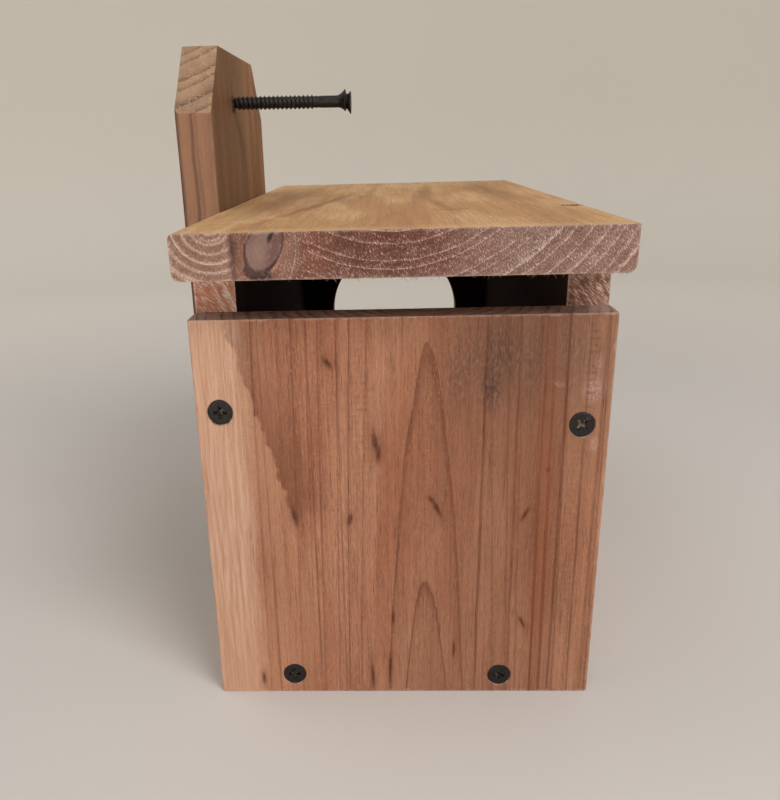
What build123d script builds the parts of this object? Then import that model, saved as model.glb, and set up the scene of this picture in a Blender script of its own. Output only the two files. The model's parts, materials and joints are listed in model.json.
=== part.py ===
from build123d import *
import os

# A nest box that lies along one axis: a floor, two long walls, a solid end and an end with a round
# entrance, a flat roof, and a tall board with clipped corners beside it that hangs the box on a tree
# or a post. Every board is planed fence-picket stock of one width and thickness, and bugle-head
# screws hold them together.
#
# Frame: X runs across the box, away from the mounting board. Y runs along the box, from the solid
# end towards the entrance end. Z is up. The origin is the bottom centre of the whole part.

# Driving dimensions, millimetres
BOARD_THICKNESS = 14.3  # 9/16 in
BOARD_WIDTH = 139.7  # 5-1/2 in
WALL_LENGTH = 241.3  # 9-1/2 in
WALL_HEIGHT = 144.5
ROOF_OVERHANG = 14.3
MOUNTING_BOARD_HEIGHT = 234.0
MOUNTING_BOARD_SHIFT = 6.0  # from the box's middle towards the entrance end
DOG_EAR = 25.4
ENTRANCE_DIAMETER = 76.2  # 3 in hole saw
ENTRANCE_HEIGHT = 98.5  # centre of the hole above the ground

CUT_EDGE_EASE = 0.4
MILLED_EDGE_RADIUS = 1.2
ROOF_TOP_EDGE_RADIUS = 1.8
ROOF_LOWER_EDGE_RADIUS = 2.8

# Screws: one small size for the joints and a stout one that hangs the box
THREAD_RADIUS = 2.1
CORE_RADIUS = 1.5
HEAD_RADIUS = 4.25
HEAD_HEIGHT = 4.2
NECK_LENGTH = 1.5  # smooth length below the head
POINT_LENGTH = 5.0
HEAD_SINK = 0.3  # each joint screw's head sits this far below the wood
ROOF_HEAD_SINK = 1.1  # driven deeper, through the roof
JOINT_SCREW_LENGTH = 31.8  # 1-1/4 in
FACE_SCREW_LENGTH = 25.4  # 1 in, where two boards lie face to face

MOUNTING_SCREW_LENGTH = 57.2  # 2-1/4 in
MOUNTING_SCREW_THREAD_RADIUS = 2.8
MOUNTING_SCREW_SHANK_RADIUS = 2.4
MOUNTING_SCREW_HEAD_RADIUS = 4.7
MOUNTING_SCREW_HEAD_HEIGHT = 5.4
MOUNTING_SCREW_SHANK_LENGTH = 8.3
MOUNTING_SCREW_POINT_LENGTH = 10.5
MOUNTING_SCREW_EXPOSED = 51.0  # head to board face, as started
MOUNTING_SCREW_Y = -11.6
MOUNTING_SCREW_HEIGHT = 214.1
MOUNTING_SCREW_DROOP = 0.6  # degrees that the head hangs below the point

HOLE_CLEARANCE = 0.05  # radial, round every thread and core
HEAD_RIM = 0.6
RECESS_DEPTH = 2.4
RECESS_SPAN = 4.6
RECESS_WIDTH = 1.1
RECESS_TAPER = 12

# Places that follow from them
BOX_LENGTH = WALL_LENGTH + 2 * BOARD_THICKNESS
ROOF_LENGTH = BOX_LENGTH + 2 * ROOF_OVERHANG
REAR_X = (BOARD_THICKNESS - BOARD_WIDTH) / 2  # where the box and the mounting board meet
FRONT_X = REAR_X + BOARD_WIDTH
BACK_X = REAR_X - BOARD_THICKNESS
BOX_MIDDLE_X = (REAR_X + FRONT_X) / 2
SOLID_END_Y = -BOX_LENGTH / 2
ENTRANCE_END_Y = BOX_LENGTH / 2
CHAMBER_HALF_LENGTH = WALL_LENGTH / 2
ROOF_UNDERSIDE = BOARD_THICKNESS + WALL_HEIGHT
ROOF_TOP = ROOF_UNDERSIDE + BOARD_THICKNESS
REAR_WALL_MIDDLE_X = REAR_X + BOARD_THICKNESS / 2
FRONT_WALL_MIDDLE_X = FRONT_X - BOARD_THICKNESS / 2
FLOOR_MIDDLE_Z = BOARD_THICKNESS / 2

# Screw directions, as rotations that carry a screw whose point faces down
TOWARDS_ENTRANCE = (90, 0, 0)
TOWARDS_SOLID_END = (-90, 0, 0)
DOWN = (0, 0, 0)
UP = (180, 0, 0)
TOWARDS_FRONT = (0, -90, 0)
TOWARDS_BACK = (0, 90, 0)


def board(x, y, z, milled_axis):
    """A board between pairs of coordinates, its long milled edges rounded and its cut ends eased."""
    size = (x[1] - x[0], y[1] - y[0], z[1] - z[0])
    middle = ((x[0] + x[1]) / 2, (y[0] + y[1]) / 2, (z[0] + z[1]) / 2)
    blank = Pos(*middle) * Box(*size)
    blank = fillet(blank.edges().filter_by(milled_axis), MILLED_EDGE_RADIUS)
    ends = blank.faces().filter_by(milled_axis)
    return chamfer(ends.edges(), CUT_EDGE_EASE)


def screw_profile(
    length, head_radius, head_height, thread_radius, core_radius, shank, point, grow=0.0
):
    """Half of a bugle-head screw's outline; grow widens everything below the head."""
    thread_start = -head_height - shank
    with BuildSketch(Plane.XZ) as half:
        with BuildLine():
            Polyline((0, 0), (head_radius, 0), (head_radius, -HEAD_RIM))
            TangentArc(
                (head_radius, -HEAD_RIM),
                (core_radius + grow, -head_height),
                tangent=(-1, -0.35),
            )
            Polyline(
                (core_radius + grow, -head_height),
                (core_radius + grow, thread_start - grow),
                (thread_radius + grow, thread_start - thread_radius + core_radius),
                (thread_radius + grow, point - length),
                (0, -length - 2 * grow),
                (0, 0),
            )
        make_face()
    return half.sketch


def drive_recess():
    """A cross-shaped recess that tapers as it goes down into the head."""
    cross = Rectangle(RECESS_SPAN, RECESS_WIDTH) + Rectangle(RECESS_WIDTH, RECESS_SPAN)
    return extrude(cross, amount=-RECESS_DEPTH, taper=RECESS_TAPER)


def screw(**sizes):
    return revolve(screw_profile(**sizes), Axis.Z) - drive_recess()


def screw_hole(sink, **sizes):
    """The countersunk hole that a joint screw fills, with its mouth carried up past the head."""
    mouth = Pos(0, 0, sink) * Cylinder(sizes["head_radius"], 2 * sink)
    return revolve(screw_profile(**sizes, grow=HOLE_CLEARANCE), Axis.Z) + mouth


JOINT_SCREW = dict(
    length=JOINT_SCREW_LENGTH,
    head_radius=HEAD_RADIUS,
    head_height=HEAD_HEIGHT,
    thread_radius=THREAD_RADIUS,
    core_radius=CORE_RADIUS,
    shank=NECK_LENGTH,
    point=POINT_LENGTH,
)
FACE_SCREW = dict(JOINT_SCREW, length=FACE_SCREW_LENGTH)
MOUNTING_SCREW = dict(
    length=MOUNTING_SCREW_LENGTH,
    head_radius=MOUNTING_SCREW_HEAD_RADIUS,
    head_height=MOUNTING_SCREW_HEAD_HEIGHT,
    thread_radius=MOUNTING_SCREW_THREAD_RADIUS,
    core_radius=MOUNTING_SCREW_SHANK_RADIUS,
    shank=MOUNTING_SCREW_SHANK_LENGTH,
    point=MOUNTING_SCREW_POINT_LENGTH,
)


def floor_board():
    return board(
        (REAR_X, FRONT_X),
        (-CHAMBER_HALF_LENGTH, CHAMBER_HALF_LENGTH),
        (0, BOARD_THICKNESS),
        Axis.Y,
    )


def long_wall(x_low):
    return board(
        (x_low, x_low + BOARD_THICKNESS),
        (-CHAMBER_HALF_LENGTH, CHAMBER_HALF_LENGTH),
        (BOARD_THICKNESS, ROOF_UNDERSIDE),
        Axis.Y,
    )


def end_board(y_low):
    return board(
        (REAR_X, FRONT_X),
        (y_low, y_low + BOARD_THICKNESS),
        (0, WALL_HEIGHT),
        Axis.Z,
    )


def entrance_end_board():
    blank = end_board(ENTRANCE_END_Y - BOARD_THICKNESS)
    middle = (BOX_MIDDLE_X, ENTRANCE_END_Y - BOARD_THICKNESS / 2, ENTRANCE_HEIGHT)
    hole = Cylinder(ENTRANCE_DIAMETER / 2, 2 * BOARD_THICKNESS)
    return blank - Location(middle, TOWARDS_ENTRANCE) * hole


def roof_board():
    """The roof: its lower long edges are well rounded, its front top edge is left square."""
    z_middle = (ROOF_UNDERSIDE + ROOF_TOP) / 2
    blank = Pos(BOX_MIDDLE_X, 0, z_middle) * Box(BOARD_WIDTH, ROOF_LENGTH, BOARD_THICKNESS)
    lower_edges = blank.edges().filter_by(Axis.Y).group_by(Axis.Z)[0]
    blank = fillet(lower_edges, ROOF_LOWER_EDGE_RADIUS)
    rear_top_edge = blank.edges().filter_by(Axis.Y).group_by(Axis.Z)[-1].sort_by(Axis.X)[0]
    blank = fillet(rear_top_edge, ROOF_TOP_EDGE_RADIUS)
    ends = blank.faces().filter_by(Axis.Y)
    return chamfer(ends.edges(), CUT_EDGE_EASE)


def mounting_board():
    half = BOARD_WIDTH / 2
    shoulder = MOUNTING_BOARD_HEIGHT - DOG_EAR
    outline = Polyline(
        (-half, 0),
        (half, 0),
        (half, shoulder),
        (half - DOG_EAR, MOUNTING_BOARD_HEIGHT),
        (DOG_EAR - half, MOUNTING_BOARD_HEIGHT),
        (-half, shoulder),
        close=True,
    )
    plane = Plane((BACK_X, MOUNTING_BOARD_SHIFT, 0), x_dir=(0, 1, 0), z_dir=(1, 0, 0))
    blank = extrude(plane * make_face(outline), amount=BOARD_THICKNESS)
    sides = blank.faces().filter_by(Axis.Y)
    return chamfer(sides.edges().filter_by(Axis.Z), CUT_EDGE_EASE)


def mounting_screw_place():
    """The started screw: its shank leaves the board's front face at its stated height."""
    droop = Rot(0, TOWARDS_BACK[1] + MOUNTING_SCREW_DROOP, 0)
    out_of_board = Pos(0, 0, MOUNTING_SCREW_EXPOSED)
    return Pos(REAR_X, MOUNTING_SCREW_Y, MOUNTING_SCREW_HEIGHT) * droop * out_of_board


def screw_groups():
    """Each group of fixed screws: name, sizes, the boards it goes through, and its places."""
    low = 7.5
    groups = []
    groups.append(
        (
            "solid_end_screw",
            JOINT_SCREW,
            ("solid_end_board", "rear_wall", "front_wall", "floor_board"),
            [
                ((REAR_X + 8.4, SOLID_END_Y, 112.9), TOWARDS_ENTRANCE, 0),
                ((REAR_X + 130.4, SOLID_END_Y, 106.8), TOWARDS_ENTRANCE, 45),
                ((REAR_X + 28.4, SOLID_END_Y, low + 0.4), TOWARDS_ENTRANCE, 5),
                ((REAR_X + 106.2, SOLID_END_Y, low - 0.2), TOWARDS_ENTRANCE, 80),
            ],
        )
    )
    groups.append(
        (
            "entrance_end_screw",
            JOINT_SCREW,
            ("entrance_end_board", "rear_wall", "front_wall", "floor_board"),
            [
                ((REAR_X + 7.6, ENTRANCE_END_Y, 118.0), TOWARDS_SOLID_END, 20),
                ((REAR_X + 131.8, ENTRANCE_END_Y, 115.5), TOWARDS_SOLID_END, 65),
                ((REAR_X + 31.0, ENTRANCE_END_Y, low), TOWARDS_SOLID_END, 35),
                ((REAR_X + 109.0, ENTRANCE_END_Y, low - 0.5), TOWARDS_SOLID_END, 10),
            ],
        )
    )
    groups.append(
        (
            "roof_screw",
            JOINT_SCREW,
            ("roof_board", "front_wall"),
            [((FRONT_WALL_MIDDLE_X + 2.6, -72.0, ROOF_TOP), DOWN, 30)],
        )
    )
    roof_middle = (ROOF_UNDERSIDE + ROOF_TOP) / 2
    groups.append(
        (
            "roof_edge_screw",
            JOINT_SCREW,
            ("mounting_board", "roof_board"),
            [
                ((BACK_X, MOUNTING_BOARD_SHIFT - 45.0, roof_middle), TOWARDS_FRONT, 15),
                ((BACK_X, MOUNTING_BOARD_SHIFT + 45.0, roof_middle), TOWARDS_FRONT, 50),
            ],
        )
    )
    groups.append(
        (
            "mounting_board_screw",
            FACE_SCREW,
            ("mounting_board", "rear_wall"),
            [
                ((BACK_X, MOUNTING_BOARD_SHIFT + y, z), TOWARDS_FRONT, roll)
                for y, z, roll in ((-45, 120, 0), (45, 122, 40), (-46, 38, 70), (44, 36, 25))
            ],
        )
    )
    groups.append(
        (
            "floor_screw",
            JOINT_SCREW,
            ("floor_board", "rear_wall", "front_wall"),
            [
                ((x, y, 0), UP, roll)
                for x, y, roll in (
                    (REAR_WALL_MIDDLE_X, -70, 10),
                    (REAR_WALL_MIDDLE_X, 70, 55),
                    (FRONT_WALL_MIDDLE_X, -70, 30),
                    (FRONT_WALL_MIDDLE_X, 70, 85),
                )
            ],
        )
    )
    return groups


def build():
    parts = {
        "floor_board": floor_board(),
        "rear_wall": long_wall(REAR_X),
        "front_wall": long_wall(FRONT_X - BOARD_THICKNESS),
        "solid_end_board": end_board(SOLID_END_Y),
        "entrance_end_board": entrance_end_board(),
        "roof_board": roof_board(),
        "mounting_board": mounting_board(),
    }
    for name, sizes, boards, places in screw_groups():
        whole = screw(**sizes)
        sink = ROOF_HEAD_SINK if name == "roof_screw" else HEAD_SINK
        hole = screw_hole(sink, **sizes)
        for number, (point, direction, roll) in enumerate(places, start=1):
            place = Location(point, direction) * Pos(0, 0, -sink) * Rot(0, 0, roll)
            parts[f"{name}_{number}"] = place * whole
            for held in boards:
                parts[held] -= place * hole

    place = mounting_screw_place()
    bore = Cylinder(MOUNTING_SCREW_THREAD_RADIUS + HOLE_CLEARANCE, 3 * MOUNTING_SCREW_LENGTH)
    parts["mounting_board"] -= place * bore
    parts["mounting_screw"] = place * Rot(0, 0, 20) * screw(**MOUNTING_SCREW)
    return parts


os.makedirs("parts", exist_ok=True)
for node, shape in build().items():
    shape.label = node
    export_step(shape, f"parts/{node}.step")
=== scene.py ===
import json
import math
import random

import bmesh
import bpy
import numpy as np
from mathutils import Matrix, Vector, noise


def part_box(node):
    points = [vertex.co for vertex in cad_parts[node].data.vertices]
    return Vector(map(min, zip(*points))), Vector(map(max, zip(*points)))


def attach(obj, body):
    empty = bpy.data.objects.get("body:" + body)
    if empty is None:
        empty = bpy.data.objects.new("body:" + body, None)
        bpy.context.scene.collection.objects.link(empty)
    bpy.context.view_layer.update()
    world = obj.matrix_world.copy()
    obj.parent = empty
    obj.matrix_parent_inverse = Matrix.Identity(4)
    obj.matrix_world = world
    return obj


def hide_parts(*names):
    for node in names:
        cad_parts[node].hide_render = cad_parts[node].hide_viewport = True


# The box is seven cedar boards and twenty black screws. Every board is rebuilt here as a fine lattice
# with worn edges, then countersunk; every screw as a lathed head and a helical thread.
# Lengths in the settings are millimetres; the scene is in metres.
MM = 0.001

# Boards
AXES = {"X": 0, "Y": 1, "Z": 2}
LATTICE_STEP = 2.2
CUT_EASE = 0.45
ENTRANCE_RADIUS = 38.1
ENTRANCE_HEIGHT = 98.5
END_BOARD_HALF_HEIGHT = 72.25
DOG_EAR = 25.4
BORE_RADIUS = 2.85

# Screws: they repeat the sizes of the design
JOINT_SCREW = dict(
    length=31.8, head=4.25, bugle=4.2, thread=2.1, core=1.5, shank=1.5, point=5.0, pitch=2.3, starts=1
)
FACE_SCREW = dict(JOINT_SCREW, length=25.4)
MOUNTING_SCREW = dict(
    length=57.2, head=4.5, bugle=6.0, thread=2.8, core=2.25, shank=7.7, point=9.0,
    pitch=1.85, starts=2, lip=4.4,
)
SCREW_COLUMNS = 36
SHANK_OVER_CORE = 1.07  # a thread is rolled from wire a little thicker than its core
THREAD_PROFILE = ((0.0, 0.0), (0.3, 0.0), (0.52, 0.25), (0.66, 1.0), (0.76, 1.0), (0.9, 0.2))
RECESS_SPAN = 4.6
RECESS_WIDTH = 1.15
RECESS_DEPTH = 2.5
DUSTY_SCREWS = ("solid_end_screw_2", "entrance_end_screw_1", "mounting_board_screw_3", "roof_screw_1")


def srgb(red, green, blue):
    """A colour given as 0 to 255 per channel, made linear."""
    shares = (red / 255, green / 255, blue / 255)
    linear = [c / 12.92 if c <= 0.04045 else ((c + 0.055) / 1.055) ** 2.4 for c in shares]
    return (*linear, 1.0)


class Graph:
    """One material's nodes, built from plain calls that take numbers or other nodes' outputs."""

    def __init__(self, name):
        self.material = bpy.data.materials.new(name)
        self.material.use_nodes = True
        self.tree = self.material.node_tree
        self.shader = self.tree.nodes["Principled BSDF"]

    def add(self, kind, *values, **settings):
        node = self.tree.nodes.new("ShaderNode" + kind)
        for key, value in settings.items():
            setattr(node, key, value)
        for socket, value in zip(node.inputs, values):
            self.plug(socket, value)
        return node

    def plug(self, socket, value):
        if isinstance(value, bpy.types.NodeSocket):
            self.tree.links.new(value, socket)
        else:
            socket.default_value = value

    def math(self, operation, first, *others):
        """The operation over two or more values, from left to right, or on a single one."""
        if not others:
            return self.add("Math", first, operation=operation).outputs[0]
        for other in others:
            first = self.add("Math", first, other, operation=operation).outputs[0]
        return first

    def plus(self, *values):
        return self.math("ADD", *values)

    def minus(self, a, b):
        return self.math("SUBTRACT", a, b)

    def times(self, *values):
        return self.math("MULTIPLY", *values)

    def hypotenuse(self, a, b):
        return self.math("SQRT", self.plus(self.times(a, a), self.times(b, b)))

    def centred(self, value, amount):
        """A share about a half, turned into an amount either side of zero."""
        return self.add("Math", value, amount, -0.5 * amount, operation="MULTIPLY_ADD").outputs[0]

    def step(self, value, start, end, low=0.0, high=1.0):
        """low before start, high after end, and a smooth ramp between."""
        node = self.add("MapRange", value, start, end, low, high, interpolation_type="SMOOTHSTEP")
        return node.outputs[0]

    def ramp(self, value, *stops):
        """A grey ramp through (place, level) stops."""
        node = self.add("ValToRGB", value)
        elements = node.color_ramp.elements
        while len(elements) < len(stops):
            elements.new(0.5)
        for element, (place, level) in zip(elements, stops):
            element.position = place
            element.color = (level, level, level, 1)
        return node.outputs[0]

    def vector(self, x=0.0, y=0.0, z=0.0):
        return self.add("CombineXYZ", x, y, z).outputs[0]

    def moved(self, vector, place, size, tilt):
        """The vector as seen from a place, turned by the tilt in degrees and measured in the size."""
        node = self.add("Mapping", vector, vector_type="TEXTURE")
        node.inputs["Location"].default_value = (*place, 0)
        node.inputs["Rotation"].default_value = (0, 0, math.radians(tilt))
        node.inputs["Scale"].default_value = (*size, 1)
        return node.outputs[0]

    def texture(self, kind, dimensions, **inputs):
        node = self.add(kind, noise_dimensions=dimensions)
        for name, value in inputs.items():
            self.plug(node.inputs[name], value)
        return node.outputs[0]

    def noise(self, vector, size=(1, 1, 1), detail=2.0, rough=0.5):
        """Noise whose lumps take that size along each axis."""
        if size != (1, 1, 1):
            vector = self.add("VectorMath", vector, size, operation="DIVIDE").outputs[0]
        return self.texture("TexNoise", "3D", Vector=vector, Scale=1.0, Detail=detail, Roughness=rough)

    def strokes(self, a, b, angle, width, length):
        """Noise drawn out into short strokes that lean by the angle, in degrees."""
        return self.noise(self.moved(self.vector(a, b), (0, 0), (length, width), angle), rough=0.6)

    def noise_line(self, value, detail=1.0):
        return self.texture("TexNoise", "1D", W=value, Scale=1.0, Detail=detail)

    def chance(self, value):
        """A random share for each whole number."""
        return self.texture("TexWhiteNoise", "1D", W=value)

    def spot(self, flat, place, size, tilt, soft):
        """1 inside an ellipse with those half sizes, 0 outside."""
        node = self.add("VectorMath", self.moved(flat, place, size, tilt), operation="LENGTH")
        return self.step(node.outputs["Value"], 1 + soft, 1 - soft)

    def mix(self, share, a, b, blend="MIX"):
        node = self.add("Mix", data_type="RGBA", blend_type=blend, clamp_factor=True)
        self.plug(node.inputs[0], share)
        self.plug(node.inputs[6], a)
        self.plug(node.inputs[7], b)
        return node.outputs[2]

    def shaded(self, colour, shade):
        grey = self.add("CombineColor", shade, shade, shade).outputs[0]
        return self.mix(1.0, colour, grey, "MULTIPLY")

    def tint(self, colour, tone, share, *others):
        """The colour moved towards a tone as far as the product of the shares."""
        return self.mix(self.times(share, *others) if others else share, colour, srgb(*tone))

    def paint(self, colour, tone, flat, where, *marks):
        """Soft-edged ellipses of one tone: each mark is a place, half sizes, a tilt, softness and depth."""
        for place, size, tilt, soft, depth in marks:
            colour = self.tint(colour, tone, self.spot(flat, place, size, tilt, soft), where, depth)
        return colour

    def finish(self, colour, roughness, height, depth, specular):
        """Colour, roughness and bump go to the shader; height of 1 stands depth mm proud."""
        bump = self.add("Bump")
        bump.inputs["Strength"].default_value = 1.0
        bump.inputs["Distance"].default_value = depth * MM
        self.plug(bump.inputs["Height"], height)
        inputs = self.shader.inputs
        self.plug(inputs["Base Color"], colour)
        self.plug(inputs["Roughness"], roughness)
        self.plug(inputs["Normal"], bump.outputs[0])
        inputs["Specular IOR Level"].default_value = specular
        return self.material


# ---------------------------------------------------------------- wood


def half_sizes(board):
    """Half the board's width, thickness and length, in mm."""
    low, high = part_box(board["node"])
    size = (high - low) / MM
    return [size[AXES[axis]] / 2 for axis in board["axes"]]


def board_place(g, board):
    """The board's own coordinates in mm: across the width, through the thickness, along the grain."""
    low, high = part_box(board["node"])
    middle = (low + high) / 2
    coordinates = g.add("TexCoord")
    parts = g.add("SeparateXYZ", coordinates.outputs["Object"])
    normal = g.add("SeparateXYZ", coordinates.outputs["Normal"])
    indexes = [AXES[axis] for axis in board["axes"]]
    local = [g.times(g.minus(parts.outputs[index], middle[index]), 1 / MM) for index in indexes]
    return (*local, g.math("ABSOLUTE", normal.outputs[indexes[2]]))


def growth_rings(g, board, u, v, w):
    """Distance from the wandering pith, in mm."""
    pith_u, pith_v, lean_u, lean_v = board["pith"]
    wander = board["wander"]
    seeded = g.add("VectorMath", g.vector(u, v, w), (board["seed"] * 40.0, 0, 0)).outputs[0]
    slow = g.add("VectorMath", seeded, (38, 38, 210), operation="DIVIDE").outputs[0]
    other = g.add("VectorMath", slow, (7.3, 3.1, 5.7)).outputs[0]
    across = g.plus(u, g.centred(g.noise(slow, detail=1.5), wander), g.times(w, -lean_u), -pith_u)
    through = g.plus(v, g.centred(g.noise(other, detail=1.5), wander), g.times(w, -lean_v), -pith_v)
    ripple = g.centred(g.noise(seeded, (5, 5, 45)), board["ripple"])
    radius = g.plus(g.hypotenuse(across, through), ripple)
    return board["ring_bends"](g, radius, u, v, w) if "ring_bends" in board else radius


def ring_lines(g, board, radius):
    """Latewood lines of random strength, thin on a face and broad on end grain, and the ring count."""
    count = g.plus(g.times(radius, 1 / board["spacing"]), board["phase"])
    count = g.plus(count, g.centred(g.noise_line(g.times(count, 0.9)), board["uneven"]))
    ring = g.math("FLOOR", count)
    within = g.minus(count, ring)
    luck = g.chance(g.plus(ring, board["seed"]))
    thin = g.ramp(within, (0.0, 0.3), (0.05, 0.0), (0.55, 0.03), (0.86, 0.26), (0.965, 1.0))
    broad = g.ramp(within, (0.0, 0.8), (0.07, 0.0), (0.4, 0.0), (0.76, board["lead"]), (0.9, 1.0))
    late = g.times(thin, g.step(luck, 0.05, 1.0, board["faintest"], 1.0))
    end_late = g.times(broad, g.step(luck, 0.0, 1.0, board["end_faintest"], 1.0))
    return late, end_late, count


def planed_face(g, board, local, late, band):
    """Colour and height of a planed face, with streaks, flecks, pores and ripples; and its mottle."""
    streak_wide = g.noise(local, (3.4, 3.4, 110), rough=0.55)
    streak = g.noise(local, (0.85, 0.85, 30), 3.0, 0.6)
    mottle = g.noise(local, (1.5, 1.5, 4.5), 3.0, 0.62)
    fibre = g.noise(local, (0.3, 0.3, 2.6), rough=0.7)
    threads = g.noise(local, (0.45, 0.45, 45), rough=0.6)
    pores = g.step(g.noise(local, (0.3, 0.3, 12)), 0.63, 0.75)
    flecks = g.step(g.noise(local, (0.4, 0.4, 1.7), 1.0), 0.6, 0.72)
    cloud = g.noise(local, (15, 15, 80))
    columns = g.step(g.noise(local, (6, 6, 150)), 0.5, 0.6)
    ripples = g.times(g.centred(g.noise(local, (2.2, 2.2, 0.6)), 2.0), columns)

    early, red, dark, fleck = (srgb(*c) for c in board["colours"])
    colour = g.mix(g.step(g.plus(cloud, g.centred(mottle, 0.35)), 0.34, 0.66), early, red)
    colour = g.mix(g.times(late, board["contrast"]), colour, dark)
    shade = g.plus(
        g.centred(streak_wide, 0.32),
        g.centred(streak, 0.5),
        g.centred(threads, 0.5),
        g.centred(mottle, 0.46),
        g.centred(fibre, 1.0),
        g.centred(band, 0.25),
        g.times(ripples, 0.16),
        1.0,
    )
    colour = g.mix(g.times(flecks, 0.38), g.shaded(colour, shade), fleck)
    colour = g.mix(g.times(pores, 0.5), colour, dark)
    height = g.plus(g.times(late, 0.25), g.times(streak, 0.5), g.times(fibre, 0.9))
    height = g.plus(height, g.times(pores, -0.5), g.times(ripples, 0.5))
    return colour, height, mottle


def sawn_end(g, board, u, v, w, end_late, band):
    """Colour and height of end grain: the rings seen across, rough with strokes that the saw dragged out."""
    local = g.vector(u, v, w)
    drag = g.strokes(u, g.plus(v, g.times(w, 0.7)), board["drag"], *board["drag_size"])
    grit = g.noise(local, (0.5, 0.5, 0.5), 3.0, 0.65)
    blotch = g.noise(local, (5, 4, 30))
    early, dark, fuzz = (srgb(*c) for c in board["end_colours"])
    colour = g.mix(g.times(end_late, board["end_contrast"]), early, dark)
    smooth_part = 0.0
    if "end_features" in board:
        colour, smooth_part = board["end_features"](g, colour, u, v, w)
    roughness = g.minus(1.0, g.times(smooth_part, 0.85))
    shade = g.plus(g.centred(drag, 0.8), g.centred(grit, 0.75), g.centred(blotch, 0.6), g.centred(band, 0.4))
    colour = g.shaded(colour, g.plus(g.times(shade, roughness), 1.0))
    tufts = g.plus(drag, g.times(end_late, board["tufts"]), g.centred(blotch, 0.16), board["fuzz"])
    colour = g.mix(g.times(g.step(tufts, 0.55, 0.74, 0.0, 0.85), roughness), colour, fuzz)
    saw_marks = g.noise(local, (30, 0.8, 30))
    height = g.plus(g.times(drag, 2.2), g.times(grit, 1.6), g.times(end_late, 0.8), g.times(saw_marks, 0.8))
    return colour, g.times(height, roughness)


def arris_wear(g, board, u, v, w):
    """A ragged rubbed line where two faces meet."""
    from_side, from_face, from_end = (
        g.minus(half, g.math("ABSOLUTE", place)) for half, place in zip(half_sizes(board), (u, v, w))
    )
    side_arris = g.math("MAXIMUM", from_side, from_face)
    end_arris = g.math("MAXIMUM", from_end, g.math("MINIMUM", from_side, from_face))
    nearest = g.math("MINIMUM", side_arris, end_arris)
    ragged = g.plus(nearest, g.centred(g.noise(g.vector(u, v, w), (2.0, 2.0, 5), 3.0), 2.4))
    return g.times(g.step(ragged, 0.9, 0.1), board["wear"])


def cedar(board):
    """Planed and sawn cedar: growth rings through the solid board, fibre, stains and worn edges."""
    g = Graph(board["node"] + "_cedar")
    u, v, w, end_facing = board_place(g, board)
    late, end_late, count = ring_lines(g, board, growth_rings(g, board, u, v, w))
    band = g.noise_line(g.times(count, 0.31), 2.0)
    colour, face_height, mottle = planed_face(g, board, g.vector(u, v, w), late, band)
    if "features" in board:
        colour = board["features"](g, colour, u, v, w)

    # Painted shade: the chamber's inner faces are darkened to a dull brown, standing in for the unlit inside
    # of the box
    inner = 0.0
    if "inner" in board:
        inner = g.step(g.times(v, board["inner"]), 4.0, 6.8)
        colour = g.tint(colour, (42, 17, 10), inner, 0.94)

    end = g.step(end_facing, 0.42, 0.72)
    end_colour, end_height = sawn_end(g, board, u, v, w, end_late, band)
    colour = g.mix(end, colour, end_colour)
    colour = g.tint(colour, board["end_colours"][2], arris_wear(g, board, u, v, w))
    rough = g.plus(0.56, g.times(late, -0.06), g.times(mottle, 0.16), g.times(end, 0.18), g.times(inner, 0.3))
    height = g.add("Mix", end, data_type="FLOAT")
    g.plug(height.inputs[2], face_height)
    g.plug(height.inputs[3], end_height)
    return g.finish(colour, rough, height.outputs[0], 0.22, 0.2)


SOLID_END_KNOTS = (
    ((-38.1, 74.4), (0.9, 3.4), 8),
    ((-24.5, 129.5), (0.8, 1.9), 35),
    ((-9.2, 101.8), (0.9, 3.0), 8),
    ((-8.0, 97.2), (0.8, 2.6), -4),
    ((-18.5, 72.8), (0.8, 2.1), -12),
    ((-3.5, 32.7), (0.5, 2.7), 0),
    ((-53.3, 6.2), (0.6, 2.3), 0),
    ((-11.4, 7.0), (0.6, 4.6), 2),
    ((-4.8, 11.0), (0.6, 6.0), -2),
    ((12.2, 76.8), (0.75, 3.3), 24),
    ((9.9, 80.1), (0.5, 1.2), 24),
    ((43.1, 74.3), (0.6, 2.5), -28),
    ((43.9, 30.6), (0.6, 2.3), 26),
    ((19.1, 19.1), (0.45, 3.0), 0),
    ((50.1, 90.8), (0.6, 0.8), 0),
)


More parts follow.
